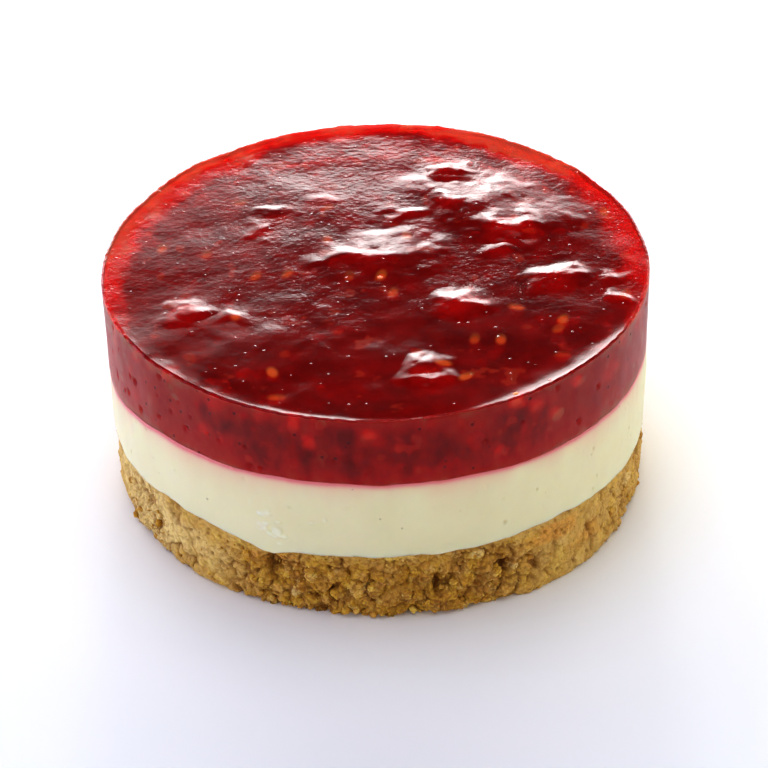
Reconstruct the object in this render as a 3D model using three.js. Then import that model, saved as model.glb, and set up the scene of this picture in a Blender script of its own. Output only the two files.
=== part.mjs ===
// A single-portion round raspberry cheesecake, set in a ring: a pressed biscuit crumb base, a layer of set
// cream cheese and a raspberry jelly poured on top.
// Millimetres, +Z up. The origin is the centre of the flat underside, and the front of the cake faces -Y.
// Each layer is one closed solid that runs right through the cake.

import * as THREE from "three";

// The cake
const RADIUS = 40; // of the ring it was set in
const HEIGHT = 35; // to the rim of the jelly
const CREAM_TOP = 23.1; // mean height of the joint between cream and jelly
const BISCUIT_TOP = 11.2; // mean height of the joint between biscuit and cream
const LAYER_GAP = 0.3; // between one layer's solid and the next
const JELLY_INSET = 0.05; // how far each layer's side stands in from the ring
const CREAM_INSET = 0.15;
const BISCUIT_INSET = 0.25;

// Where the joints rise or dip
const CREAM_SWELLS = [
  // x, y, reach, height
  [-42, -6, 24, -2.6],
  [-3, -38, 34, 1.05],
];
const BISCUIT_SWELLS = [
  [38, -15, 23, -1.7],
  [-29, -27, 14, 0.9],
  [-15, -35, 4.2, -1.4],
];

// The jelly's top: it climbed the ring as it set, and pieces of raspberry lift its skin
const RIM_RISE = 0.5; // height of the climb at the ring
const RIM_REACH = 1.3; // the climb falls off by a factor of e in this distance
const RIM_BEVEL = 0.3; // worn edge where top and side meet
const BERRY_LIFTS = [
  // x, y, half length, half width, turn in degrees, height
  [25.4, -5.4, 5.6, 5.0, 40, 0.5],
  [12.2, -11.4, 5.4, 4.8, -8, 0.42],
  [-26.6, -12.2, 4.8, 4.2, 30, 0.24],
  [7.2, -28.8, 4.6, 3.8, 14, 0.3],
  [-1.5, 0.4, 7.6, 3.6, -4, 0.16],
  [20.4, 8.0, 6.0, 5.4, -22, 0.45],
  [11.2, 24.8, 4.2, 3.0, 25, 0.4],
  [10.7, 16.0, 3.4, 2.8, 0, 0.28],
  [4.4, 12.8, 4.6, 2.6, 26, 0.2],
  [-14.6, 13.4, 3.3, 2.6, 0, 0.12],
  [-17.2, 9.0, 4.0, 3.0, 8, 0.12],
  [34.0, -5.6, 4.4, 3.2, 20, 0.2],
  [34.4, -11.4, 3.2, 2.4, -34, 0.2],
  [-20.2, -14.2, 3.2, 2.6, -52, 0.1],
  [-8.0, 17.8, 3.6, 2.8, 12, 0.08],
  [18.4, 2.6, 3.2, 2.2, 0, 0.25],
];
const BROAD_SWELLS = [
  // as for the lifts
  [18.2, 14.2, 18.0, 10.0, -43, 0.5],
  [1.2, 1.2, 11.5, 8.5, 0, 0.38],
  [-20.0, -22.0, 24.0, 20.0, 0, 0.24],
];

// The biscuit's side: smeared smooth by the ring in places, and open and crumbly in others
const FOOT_ROUND = 1.6; // height over which the lower edge turns in
const FOOT_TUCK = 0.5; // how far it turns in at the underside
const FOOT_SPREADS = [
  // middle and half width in degrees, and how far the foot has spread past the ring
  [-47, 46, 1.3],
  [-100, 30, 0.3],
];
const CRUMBLE_DEPTH = 0.7; // how far the wall lies back between the crumbs of an open stretch
const JOINT_FADE = 3; // the crumble starts at the joint and is full this far below it
const RIPPLE = 0.08; // unevenness of the pressed crumbs themselves
const OPEN_STRETCHES = [
  // middle and half width in degrees, and how open it is
  [-90, 42, 1.0],
  [-152, 16, 0.35],
  [-22, 20, 0.3],
  [38, 24, 0.8],
  [100, 26, 0.65],
  [158, 20, 0.85],
];
const CREVICES = [
  // angle in degrees, height of its middle, half width, half height, depth
  [-121.5, 0.6, 1.2, 1.6, 0.9],
  [-113, 7.0, 1.6, 3.4, 1.4],
  [-105, 2.8, 1.9, 1.4, 1.2],
  [-102.5, 0.8, 2.2, 1.8, 0.9],
  [-100, 3.6, 1.3, 3.4, 1.2],
  [-79, 5.6, 1.4, 2.8, 1.5],
  [-64, 5.4, 1.6, 1.9, 1.4],
  [-58, 4.4, 1.2, 1.3, 1.0],
  [32, 5.0, 1.6, 3.0, 1.3],
  [96, 6.2, 1.8, 2.2, 1.2],
  [163, 4.6, 1.5, 3.0, 1.4],
];
const CRUMB_KINDS = [
  // number, smallest and largest radius
  [62, 1.7, 2.6],
  [110, 0.9, 1.6],
];
const CRUMB_SEED = 20117;

// How finely the faces are cut
const TOP_RINGS = 24; // ring k of the jelly's top has 6 k points
const SECTORS = 6 * TOP_RINGS;
const BISCUIT_SECTORS = 216;
const SIDE_ROWS = { jelly: 3, cream: 3, biscuit: 10 };
const JOINT_RINGS = [
  // share of the radius, and points
  [0.84, SECTORS],
  [0.68, SECTORS / 2],
  [0.44, SECTORS / 4],
  [0.2, SECTORS / 12],
];

const { cos, sin, exp, hypot, atan2, sqrt, min, max, PI } = Math;
const radians = (degrees) => (degrees * PI) / 180;

// ---------- Form of the cake, as functions of place ----------

// Slow waves over the plan, from -1 to 1, which no two joints share.
function waves(x, y, phase) {
  return (
    (sin(0.11 * x + 0.05 * y + phase) +
      sin(-0.07 * x + 0.13 * y + 2.1 * phase) +
      0.6 * sin(0.23 * x + 0.19 * y + 3.7 * phase)) /
    2.6
  );
}

// A smooth hump of height 1 at its middle, 0 from distance 1 outwards on either side.
const hump = (distance) => max(0, 1 - distance * distance) ** 2;

const sum = (numbers) => numbers.reduce((total, number) => total + number, 0);

// The round swells of a joint, together.
function swell(swells, x, y) {
  return sum(swells.map(([cx, cy, reach, height]) => height * hump(hypot(x - cx, y - cy) / reach)));
}

function creamTop(x, y) {
  return CREAM_TOP + 0.2 * waves(x, y, 1.3) + swell(CREAM_SWELLS, x, y);
}

function biscuitTop(x, y) {
  return BISCUIT_TOP + 0.3 * waves(x, y, 4.1) + swell(BISCUIT_SWELLS, x, y);
}

// Heights at a place of humps that are ellipses in plan.
function ellipticHumps(humps, x, y) {
  return humps.map(([cx, cy, halfLength, halfWidth, turn, height]) => {
    const c = cos(radians(turn));
    const s = sin(radians(turn));
    const along = (x - cx) * c + (y - cy) * s;
    const across = (y - cy) * c - (x - cx) * s;
    return height * hump(hypot(along / halfLength, across / halfWidth));
  });
}

// The lift over the pieces of fruit, where the highest one counts, on top of the broad swells.
function berryLift(x, y) {
  return max(...ellipticHumps(BERRY_LIFTS, x, y)) + sum(ellipticHumps(BROAD_SWELLS, x, y));
}

function jellyTop(x, y) {
  const fromRing = max(0, RADIUS - JELLY_INSET - RIM_BEVEL - hypot(x, y));
  const climb = RIM_RISE * exp(-fromRing / RIM_REACH);
  return HEIGHT - RIM_RISE + climb + berryLift(x, y) * (1 - climb / RIM_RISE);
}

function jellyRadius(angle) {
  return RADIUS - JELLY_INSET - 0.05 * (1 + sin(3 * angle + 0.6));
}

function creamRadius(angle, z) {
  return RADIUS - CREAM_INSET + 0.08 * sin(2 * angle + 1) + 0.05 * sin(0.5 * z + 4 * angle);
}

// The signed turn from one angle to another, at most half a round.
const turnBetween = (from, to) => atan2(sin(to - from), cos(to - from));

// How open the biscuit's side is at an angle, from 0, smeared smooth, to 1, all crumbs.
function openness(angle) {
  let most = 0;
  for (const [middle, halfWidth, open] of OPEN_STRETCHES) {
    const off = turnBetween(radians(middle), angle) / radians(halfWidth);
    most = max(most, open * min(1, 2 * hump(off)));
  }
  return most;
}

// Seeded numbers from 0 to 1.
function seeded(seed) {
  let state = seed >>> 0;
  return () => {
    state = (Math.imul(state, 1664525) + 1013904223) >>> 0;
    return state / 2 ** 32;
  };
}

// Crumbs set in the side, each with its middle, its radius and how far it stands out, which is most where
// the side is open.
function scatterCrumbs() {
  const draw = seeded(CRUMB_SEED);
  const scattered = [];
  for (const [number, smallest, largest] of CRUMB_KINDS) {
    const wanted = scattered.length + number;
    while (scattered.length < wanted) {
      const angle = 2 * PI * draw();
      const radius = smallest + (largest - smallest) * draw();
      const z = (BISCUIT_TOP - 2) * draw();
      const proud = radius * (0.18 + 0.3 * draw()) * (0.2 + 0.8 * openness(angle));
      if (draw() < 0.1 + openness(angle)) scattered.push({ angle, z, radius, proud });
    }
  }
  return scattered;
}

const crumbs = scatterCrumbs();

// Height of the crumbs above the wall between them: each is a dome, and the proudest one counts.
function crumbRelief(angle, z) {
  let relief = 0;
  for (const crumb of crumbs) {
    const across = RADIUS * turnBetween(crumb.angle, angle);
    const off = hypot(across, z - crumb.z) / crumb.radius;
    if (off < 1) relief = max(relief, crumb.proud * sqrt(1 - off * off));
  }
  return relief;
}

// How much of the crevices' depth is reached at a place, from 0, outside them, to 1, and that depth.
function crevice(angle, z) {
  let share = 0;
  let deepest = 0;
  for (const [middle, level, halfWidth, halfHeight, depth] of CREVICES) {
    const across = (RADIUS * turnBetween(radians(middle), angle)) / halfWidth;
    const reached = hump(hypot(across, (z - level) / halfHeight));
    share = max(share, reached);
    deepest = max(deepest, depth * reached);
  }
  return [share, deepest];
}

// How far the foot has spread past the ring at an angle.
function footSpread(angle) {
  return max(
    ...FOOT_SPREADS.map(([middle, halfWidth, out]) => {
      return out * hump(turnBetween(radians(middle), angle) / radians(halfWidth));
    }),
  );
}

function biscuitRadius(angle, z) {
  const open = openness(angle);
  const joint = biscuitTop(RADIUS * cos(angle), RADIUS * sin(angle));
  const below = min(1, max(0, joint - z) / JOINT_FADE);
  const spread = footSpread(angle) * max(0, 1 - z / joint);
  const tuck = FOOT_TUCK * max(0, 1 - z / FOOT_ROUND) ** 2;
  const ripple = RIPPLE * (sin(23 * angle + 0.9 * z) + sin(41 * angle - 1.7 * z));
  const [share, depth] = crevice(angle, z);
  const wall = RADIUS - BISCUIT_INSET + spread - tuck + ripple * (0.3 + 0.7 * open) * below;
  const relief = crumbRelief(angle, z) * (1 - share) - CRUMBLE_DEPTH * open;
  return wall + relief * below - depth;
}

// ---------- Closed skins from rings of points ----------

// One ring: count points round the axis, each placed by its angle.
function ring(count, placed) {
  return Array.from({ length: count }, (_, i) => placed((2 * PI * i) / count));
}

// Points on a plan at a radius, lifted to a surface z = height(x, y).
function levelRing(count, radiusAt, height) {
  return ring(count, (angle) => {
    const x = radiusAt(angle) * cos(angle);
    const y = radiusAt(angle) * sin(angle);
    return [x, y, height(x, y)];
  });
}

// Faces between two rings, the first one nearer the start of the skin, whatever their numbers of points.
function stitch(faces, first, second) {
  const firstSteps = first.length > 1 ? first.length : 0;
  const secondSteps = second.length > 1 ? second.length : 0;
  let i = 0;
  let j = 0;
  while (i < firstSteps || j < secondSteps) {
    const a = first[i % first.length];
    const b = second[j % second.length];
    const stepFirst =
      j >= secondSteps || (i < firstSteps && (i + 1) / firstSteps <= (j + 1) / secondSteps);
    if (stepFirst) {
      i += 1;
      faces.push(a, b, first[i % first.length]);
    } else {
      j += 1;
      faces.push(a, b, second[j % second.length]);
    }
  }
}

// A closed skin through all rings: from the middle of the top, out, down the side, and in to the middle of
// the underside.
function skin(rings) {
  const faces = [];
  for (let k = 1; k < rings.length; k += 1) stitch(faces, rings[k - 1], rings[k]);
  const geometry = new THREE.BufferGeometry();
  geometry.setAttribute("position", new THREE.Float32BufferAttribute(faces.flat(), 3));
  geometry.computeVertexNormals();
  return geometry;
}

// The rings of a joint between two layers, from its middle outwards, short of the layer's own edge.
function jointRings(height) {
  const rings = JOINT_RINGS.map(([share, count]) => levelRing(count, () => share * RADIUS, height));
  return [...rings, [[0, 0, height(0, 0)]]].reverse();
}

// The rows of a side between a lower and an upper surface, from the top down, edges included.
function sideRows(rows, sectors, radiusAt, upper, lower) {
  return Array.from({ length: rows + 1 }, (_, k) =>
    ring(sectors, (angle) => {
      const [x, y] = [RADIUS * cos(angle), RADIUS * sin(angle)];
      const z = upper(x, y) + ((lower(x, y) - upper(x, y)) * k) / rows;
      const r = radiusAt(angle, z);
      return [r * cos(angle), r * sin(angle), z];
    }),
  );
}

const raised = (height, by) => (x, y) => height(x, y) + by;

// ---------- The layers ----------

function jellyGeometry() {
  const top = [[[0, 0, jellyTop(0, 0)]]];
  for (let k = 1; k <= TOP_RINGS; k += 1) {
    const share = 0.6 * (k / TOP_RINGS) + 0.4 * sin(((k / TOP_RINGS) * PI) / 2); // closer together at the rim
    top.push(levelRing(6 * k, (angle) => share * (jellyRadius(angle) - RIM_BEVEL), jellyTop));
  }
  const joint = raised(creamTop, LAYER_GAP / 2);
  const side = sideRows(SIDE_ROWS.jelly, SECTORS, jellyRadius, () => HEIGHT - RIM_BEVEL, joint);
  return skin([...top, ...side, ...jointRings(joint).reverse()]);
}

function creamGeometry() {
  const upper = raised(creamTop, -LAYER_GAP / 2);
  const lower = raised(biscuitTop, LAYER_GAP / 2);
  const side = sideRows(SIDE_ROWS.cream, SECTORS, creamRadius, upper, lower);
  return skin([...jointRings(upper), ...side, ...jointRings(lower).reverse()]);
}

function biscuitGeometry() {
  const upper = raised(biscuitTop, -LAYER_GAP / 2);
  const underside = () => 0;
  const side = sideRows(SIDE_ROWS.biscuit, BISCUIT_SECTORS, biscuitRadius, upper, underside);
  return skin([...jointRings(upper), ...side, ...jointRings(underside).reverse()]);
}

// ---------- The cake ----------

const cake = new THREE.Group();

function layer(name, geometry, colour, roughness) {
  const material = new THREE.MeshStandardMaterial({ color: colour, roughness, metalness: 0 });
  const mesh = new THREE.Mesh(geometry, material);
  mesh.name = name;
  cake.add(mesh);
}

layer("biscuit_base", biscuitGeometry(), 0xa67c42, 0.9);
layer("cream_layer", creamGeometry(), 0xe6e0c6, 0.55);
layer("raspberry_jelly", jellyGeometry(), 0x8c1218, 0.12);

export default cake;
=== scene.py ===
"""A round single-portion raspberry cheesecake, set in a ring: a pressed biscuit crumb base, a layer of set
cream cheese and a raspberry jelly poured on top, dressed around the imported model.

Forms are functions of place, worked out as whole arrays in millimetres and turned into metres as each mesh is
made. +Z is up, the middle of the underside is the origin and the front of the cake faces -Y.
"""

import math

import bmesh
import bpy
import numpy as np
from mathutils import Matrix, Vector


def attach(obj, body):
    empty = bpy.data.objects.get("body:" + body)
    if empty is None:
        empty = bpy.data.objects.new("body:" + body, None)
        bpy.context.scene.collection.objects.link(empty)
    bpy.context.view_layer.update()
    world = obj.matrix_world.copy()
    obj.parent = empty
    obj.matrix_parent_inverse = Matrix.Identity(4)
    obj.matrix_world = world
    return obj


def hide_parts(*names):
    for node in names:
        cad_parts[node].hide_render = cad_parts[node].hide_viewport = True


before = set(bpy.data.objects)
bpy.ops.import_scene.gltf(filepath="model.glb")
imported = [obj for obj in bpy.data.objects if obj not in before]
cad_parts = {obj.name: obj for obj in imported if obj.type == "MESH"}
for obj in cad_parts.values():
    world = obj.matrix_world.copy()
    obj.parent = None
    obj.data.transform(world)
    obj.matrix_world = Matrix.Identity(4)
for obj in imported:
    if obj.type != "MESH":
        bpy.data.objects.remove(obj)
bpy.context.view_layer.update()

# ---------- Sizes, in millimetres ----------

MM = 0.001  # one millimetre, in metres

# The cake
RADIUS = 40.0  # of the ring it was set in
HEIGHT = 35.0  # to the rim of the jelly
CREAM_TOP = 23.1  # mean height of the joint between cream and jelly
BISCUIT_TOP = 11.2  # mean height of the joint between biscuit and cream
JELLY_INSET = 0.05  # how far each layer's side stands in from the ring
CREAM_INSET = 0.15
BISCUIT_INSET = 0.25
TUCKED_UNDER = 0.05  # how far a layer reaches into the one below it, so that no slit shows

# Where the joints rise or dip
CREAM_SWELLS = [
    # x, y, reach, height
    (-42, -6, 24, -2.6),
    (-3, -38, 34, 1.05),
]
BISCUIT_SWELLS = [
    (38, -15, 23, -1.7),
    (-29, -27, 14, 0.9),
    (-15, -35, 4.2, -1.4),
]

# The jelly's top: it climbed the ring as it set, and pieces of raspberry lift its skin
RIM_RISE = 0.5  # height of the climb at the ring
RIM_REACH = 1.3  # the climb falls off by a factor of e in this distance
RIM_BEVEL = 0.3  # worn edge where top and side meet
RIM_CLIMBS = [
    # middle and half width in degrees of the stretches where it climbed, and how much of the rise it reached
    (-120, 42, 0.42),
    (-50, 30, 0.34),
    (90, 130, 0.9),
]
BERRY_LIFTS = [
    # x, y, half length, half width, turn in degrees, height
    (25.4, -5.4, 5.6, 5.0, 40, 0.5),
    (12.2, -11.4, 5.4, 4.8, -8, 0.42),
    (-26.6, -12.2, 4.8, 4.2, 30, 0.24),
    (7.2, -28.8, 4.6, 3.8, 14, 0.3),
    (-1.5, 0.4, 7.6, 3.6, -4, 0.16),
    (20.4, 8.0, 6.0, 5.4, -22, 0.45),
    (11.2, 24.8, 4.2, 3.0, 25, 0.4),
    (10.7, 16.0, 3.4, 2.8, 0, 0.28),
    (4.4, 12.8, 4.6, 2.6, 26, 0.2),
    (-14.6, 13.4, 3.3, 2.6, 0, 0.12),
    (-17.2, 9.0, 4.0, 3.0, 8, 0.12),
    (34.0, -5.6, 4.4, 3.2, 20, 0.2),
    (34.4, -11.4, 3.2, 2.4, -34, 0.2),
    (-20.2, -14.2, 3.2, 2.6, -52, 0.1),
    (-8.0, 17.8, 3.6, 2.8, 12, 0.08),
    (18.4, 2.6, 3.2, 2.2, 0, 0.25),
]
BROAD_SWELLS = [
    # as for the lifts
    (18.2, 14.2, 18.0, 10.0, -43, 0.5),
    (1.2, 1.2, 11.5, 8.5, 0, 0.38),
    (-20.0, -22.0, 24.0, 20.0, 0, 0.24),
]

# The biscuit's side: smeared smooth by the ring in places, and open and crumbly in others
FOOT_ROUND = 1.6  # height over which the lower edge turns in
FOOT_TUCK = 0.5  # how far it turns in at the underside
FOOT_SPREADS = [
    # middle and half width in degrees, and how far the foot has spread past the ring
    (-47, 46, 1.3),
    (-100, 30, 0.3),
]
CRUMBLE_DEPTH = 0.7  # how far the wall lies back between the crumbs of an open stretch
JOINT_FADE = 3.0  # the crumble starts at the joint and is full this far below it
RIPPLE = 0.08  # unevenness of the pressed crumbs themselves
OPEN_STRETCHES = [
    # middle and half width in degrees, and how open it is
    (-90, 42, 1.0),
    (-152, 16, 0.35),
    (-22, 20, 0.3),
    (38, 24, 0.8),
    (100, 26, 0.65),
    (158, 20, 0.85),
]
CREVICES = [
    # angle in degrees, height of its middle, half width, half height, depth
    (-121.5, 0.6, 1.2, 1.6, 0.9),
    (-113, 7.0, 1.6, 3.4, 1.4),
    (-105, 2.8, 1.9, 1.4, 1.2),
    (-102.5, 0.8, 2.2, 1.8, 0.9),
    (-100, 3.6, 1.3, 3.4, 1.2),
    (-79, 5.6, 1.4, 2.8, 1.5),
    (-64, 5.4, 1.6, 1.9, 1.4),
    (-58, 4.4, 1.2, 1.3, 1.0),
    (32, 5.0, 1.6, 3.0, 1.3),
    (96, 6.2, 1.8, 2.2, 1.2),
    (163, 4.6, 1.5, 3.0, 1.4),
]
BAKED_PATCHES = [
    # angle in degrees, height of its middle, half width, half height, and how much browner or paler it is
    (-53, 8.6, 8.5, 2.6, 1.0),
    (-117, 8.0, 3.0, 3.4, 0.7),
    (-100, 5.6, 2.0, 1.4, 0.7),
    (-110, 9.6, 3.0, 1.0, 0.8),
    (-42, 4.8, 10.0, 3.8, 0.55),
    (-152, 6.0, 17.0, 9.0, -1.3),
    (-128, 5.5, 11.0, 5.5, -0.55),
    (-108.5, 3.0, 1.8, 1.1, -1.2),
    (-97, 1.2, 1.6, 1.0, -1.2),
    (-70.5, 9.4, 1.7, 1.0, -1.1),
    (-62, 5.2, 1.4, 1.0, -1.0),
    (-25, 6.4, 2.4, 2.0, -1.0),
    (60, 6.0, 8.0, 3.0, 0.7),
    (140, 7.0, 10.0, 3.0, 0.6),
]
CRUMB_KINDS = [
    # number, smallest and largest radius
    (62, 1.7, 2.6),
    (110, 0.9, 1.6),
]
CRUMB_SEED = 20117

# Seeds that show in the jelly's top: x, y, depth below the skin, turn in degrees
SEED_LENGTH = 2.5
SEED_SUNK = 0.66  # of a seed's middle that lies just under the skin
TOP_SEEDS = [
    (-14.5, -27.8, 0.2, 105),
    (17.2, -21.0, 0.5, 85),
    (13.6, -20.6, 0.8, 80),
    (26.2, -16.4, 0.4, 75),
    (25.4, -18.6, 0.8, 60),
    (19.8, -13.0, 0.6, 150),
    (-13.8, -33.6, 0.8, 0),
    (2.4, -8.4, 0.7, 80),
    (0.8, -4.0, 0.3, 75),
    (-3.8, -3.8, 1.0, 80),
    (25.5, -25.0, 1.3, 15),
    (9.0, -26.4, 0.3, 160),
    (12.0, -29.6, 0.2, 40),
    (-24.8, 3.0, 0.9, 80),
    (-31.4, 5.0, 0.8, 80),
    (4.7, 6.6, 0.7, 100),
    (-7.0, 6.4, 0.8, 90),
    (-20.2, 17.4, 0.9, 20),
    (-7.0, 15.2, 0.9, 30),
    (34.4, 12.0, 0.5, 90),
    (35.5, -10.5, 0.7, 80),
    (-20.0, -13.6, 0.6, 95),
    (-17.4, -3.2, 0.6, 70),
    (-12.8, -2.8, 0.7, 60),
]
# Seeds and bits of fruit that show in its side: angle in degrees, height, depth, turn in degrees
SIDE_SEEDS = [
    (-107, 33.0, 0.5, 80),
    (-104, 30.0, 1.0, 60),
    (-92, 32.0, 0.9, 20),
    (-62, 33.6, 0.5, 150),
    (-52, 29.0, 0.6, 20),
    (-57, 31.8, 0.7, 5),
    (-46, 32.2, 0.7, 10),
    (-66, 26.6, 0.9, 60),
    (-128, 27.5, 1.6, 30),
]

# ---------- Chance and noise ----------


def seeded(seed):
    """Numbers from 0 to 1 from a linear congruential generator: the state times 1664525 plus 1013904223."""
    state = seed
    while True:
        state = (state * 1664525 + 1013904223) % 2**32
        yield state / 2**32


def scrambled(ix, iy, iz, seed):
    """Whole-number places to numbers from 0 to 1: a weighted sum of them, mixed by shifts and products."""
    mixed = (ix * 374761393 + iy * 668265263 + iz * 1442695041 + seed * 1274126177) & 0xFFFFFFFF
    mixed = ((mixed ^ (mixed >> 13)) * 1274126177) & 0xFFFFFFFF
    return (mixed ^ (mixed >> 16)) / 2**32


def noise(points, size, seed):
    """Smooth noise from -1 to 1: chance values at the corners of cubes of that size, eased between them."""
    place = points / np.asarray(size, float)
    cell = np.floor(place).astype(np.int64)
    eased = place - cell
    eased = eased * eased * (3 - 2 * eased)
    total = np.zeros(place.shape[:-1])
    for corner in np.ndindex(2, 2, 2):
        weight = np.where(corner, eased, 1 - eased).prod(axis=-1)
        total = total + weight * scrambled(*np.moveaxis(cell + corner, -1, 0), seed)
    return 2 * total - 1


def rough(points, size, seed, octaves=3):
    """Noise of that size, of half that size and so on, each half as strong as the one before."""
    size = np.asarray(size, float)
    return sum(noise(points, size / 2**k, seed + k) / 2**k for k in range(octaves))


def pebbles(points, size, seed):
    """Cells round scattered middles, one in each cube of that size. Gives, for each place, the distance to
    the nearest middle, how much further the next one is, both in sizes, and the nearest one's own chance
    number."""
    place = points / size
    cell = np.floor(place).astype(np.int64)
    nearest = np.full(place.shape[:-1], 9.0)
    second = nearest
    owner = nearest
    for step in np.ndindex(3, 3, 3):
        corner = cell + step - 1
        cube = np.moveaxis(corner, -1, 0)
        jitter = np.stack([scrambled(*cube, seed + k) for k in range(3)], axis=-1)
        away = np.linalg.norm(corner + 0.1 + 0.8 * jitter - place, axis=-1)
        closer = away < nearest
        second = np.where(closer, nearest, np.minimum(second, away))
        owner = np.where(closer, scrambled(*cube, seed + 3), owner)
        nearest = np.minimum(nearest, away)
    return nearest, second - nearest, owner


def flat(x, y):
    """Points of the plan, at height 0."""
    return np.stack([x, y, np.zeros_like(x)], axis=-1)


# ---------- Form of the cake, as functions of place ----------


def waves(x, y, phase):
    """Slow waves over the plan, from -1 to 1: three sines that run different ways."""
    return (
        np.sin(0.11 * x + 0.05 * y + phase)
        + np.sin(-0.07 * x + 0.13 * y + 2.1 * phase)
        + 0.6 * np.sin(0.23 * x + 0.19 * y + 3.7 * phase)
    ) / 2.6


def hump(distance):
    """One less the distance squared, all squared: 1 in the middle, 0 from distance 1 outwards."""
    return np.maximum(0, 1 - distance**2) ** 2


def eased_step(value, low, high):
    """From 0 at low to 1 at high, level at both ends."""
    t = np.clip((value - low) / (high - low), 0, 1)
    return t * t * (3 - 2 * t)


def swell(swells, x, y):
    """The round humps of a joint, added up."""
    return sum(height * hump(np.hypot(x - cx, y - cy) / reach) for cx, cy, reach, height in swells)


def cream_top(x, y):
    """Mean height plus slow waves and the joint's swells."""
    return CREAM_TOP + 0.2 * waves(x, y, 1.3) + swell(CREAM_SWELLS, x, y)


def biscuit_top(x, y):
    """Mean height plus slow waves and the joint's swells."""
    return BISCUIT_TOP + 0.3 * waves(x, y, 4.1) + swell(BISCUIT_SWELLS, x, y)


def jelly_joint(x, y):
    """The cream's dressed top: the solid's, with finer unevenness."""
    return cream_top(x, y) + 0.16 * rough(flat(x, y), 4.5, 431)


def crumb_joint(x, y):
    """The biscuit's dressed top: the solid's, uneven where crumbs stand up into the cream."""
    return biscuit_top(x, y) + 0.2 * rough(flat(x, y), 3.6, 441)


def tucked(joint):
    """A joint's surface let down by as much as a layer reaches into the one below it."""
    return lambda x, y: joint(x, y) - TUCKED_UNDER


def along_and_across(x, y, turn):
    """A place's two numbers as seen along and across a direction that is turned by some degrees."""
    c, s = math.cos(math.radians(turn)), math.sin(math.radians(turn))
    return x * c + y * s, y * c - x * s


def elliptic_humps(humps, x, y):
    """Heights of humps that are ellipses in plan, one array for each."""
    for cx, cy, half_length, half_width, turn, height in humps:
        along, across = along_and_across(x - cx, y - cy, turn)
        yield height * hump(np.hypot(along / half_length, across / half_width))


def fruit_lift(x, y):
    """The highest of the humps over the pieces of fruit."""
    return np.maximum.reduce(list(elliptic_humps(BERRY_LIFTS, x, y)))


def on_ring(surface, angle):
    """Height of a surface over the plan where it meets the ring."""
    return surface(RADIUS * np.cos(angle), RADIUS * np.sin(angle))


def jelly_radius(angle):
    """The ring's radius less the inset and three slow waves round the side."""
    return RADIUS - JELLY_INSET - 0.05 * (1 + np.sin(3 * angle + 0.6))


def cream_radius(angle, z):
    """The ring's radius less the inset, with slow waves round and up the side."""
    return RADIUS - CREAM_INSET + 0.08 * np.sin(2 * angle + 1) + 0.05 * np.sin(0.5 * z + 4 * angle)


def turn_between(start, end):
    """The signed turn from one angle to another, at most half a round."""
    return np.arctan2(np.sin(end - start), np.cos(end - start))


def wide_hump(angle, middle, half_width):
    """A hump round the side, with its middle and half width in degrees."""
    return hump(turn_between(math.radians(middle), angle) / math.radians(half_width))


def side_hump(angle, z, middle, level, half_width, half_height):
    """A hump on the side that is an ellipse, with its middle at an angle in degrees and a height."""
    across = RADIUS * turn_between(math.radians(middle), angle) / half_width
    return hump(np.hypot(across, (z - level) / half_height))


def openness(angle):
    """How open the biscuit's side is, from 0, smeared smooth, to 1, all crumbs: the highest of wide humps."""
    stretches = [most * np.minimum(1, 2 * wide_hump(angle, at, half)) for at, half, most in OPEN_STRETCHES]
    return np.maximum.reduce(stretches)


def scatter_crumbs():
    """Crumbs set in the side, as in the solid: angle, height, radius and how far each stands out."""
    draw = seeded(CRUMB_SEED)
    scattered = []
    for number, smallest, largest in CRUMB_KINDS:
        wanted = len(scattered) + number
        while len(scattered) < wanted:
            angle = 2 * math.pi * next(draw)
            radius = smallest + (largest - smallest) * next(draw)
            z = (BISCUIT_TOP - 2) * next(draw)
            opened = float(openness(np.array(angle)))
            proud = radius * (0.18 + 0.3 * next(draw)) * (0.2 + 0.8 * opened)
            if next(draw) < 0.1 + opened:
                scattered.append((angle, z, radius, proud))
    return scattered


SET_CRUMBS = scatter_crumbs()


def crumb_relief(angle, z):
    """Height of the set crumbs above the wall: each is a dome, and the proudest one counts."""
    relief = np.zeros_like(angle)
    for middle, level, radius, proud in SET_CRUMBS:
        off = np.hypot(RADIUS * turn_between(middle, angle), z - level) / radius
        relief = np.maximum(relief, proud * np.sqrt(np.clip(1 - off * off, 0, 1)))
    return relief


def crevice(angle, z):
    """How much of the crevices' depth is reached, from 0 outside them to 1, and that depth: side humps."""
    reached = [side_hump(angle, z, *place) for *place, _ in CREVICES]
    depths = [depth * share for (*_, depth), share in zip(CREVICES, reached)]
    return np.maximum.reduce(reached), np.maximum.reduce(depths)


def foot_spread(angle):
    """How far the foot has spread past the ring at an angle: the highest of wide humps."""
    return np.maximum.reduce([out * wide_hump(angle, at, half) for at, half, out in FOOT_SPREADS])


def below_joint(angle, z):
    """From 0 at the joint with the cream to 1 where the crumble is full."""
    joint = on_ring(biscuit_top, angle)
    return np.minimum(1, np.maximum(0, joint - z) / JOINT_FADE)


def biscuit_radius(angle, z):
    """The ring's radius less inset, tuck, crumble depth and crevices, plus spread, ripples and set crumbs."""
    opened = openness(angle)
    joint = on_ring(biscuit_top, angle)
    below = below_joint(angle, z)
    spread = foot_spread(angle) * np.maximum(0, 1 - z / joint)
    tuck = FOOT_TUCK * np.maximum(0, 1 - z / FOOT_ROUND) ** 2
    ripple = RIPPLE * (np.sin(23 * angle + 0.9 * z) + np.sin(41 * angle - 1.7 * z))
    share, depth = crevice(angle, z)
    wall = RADIUS - BISCUIT_INSET + spread - tuck + ripple * (0.3 + 0.7 * opened) * below
    relief = crumb_relief(angle, z) * (1 - share) - CRUMBLE_DEPTH * opened
    return wall + relief * below - depth


# ---------- Meshes ----------


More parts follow.
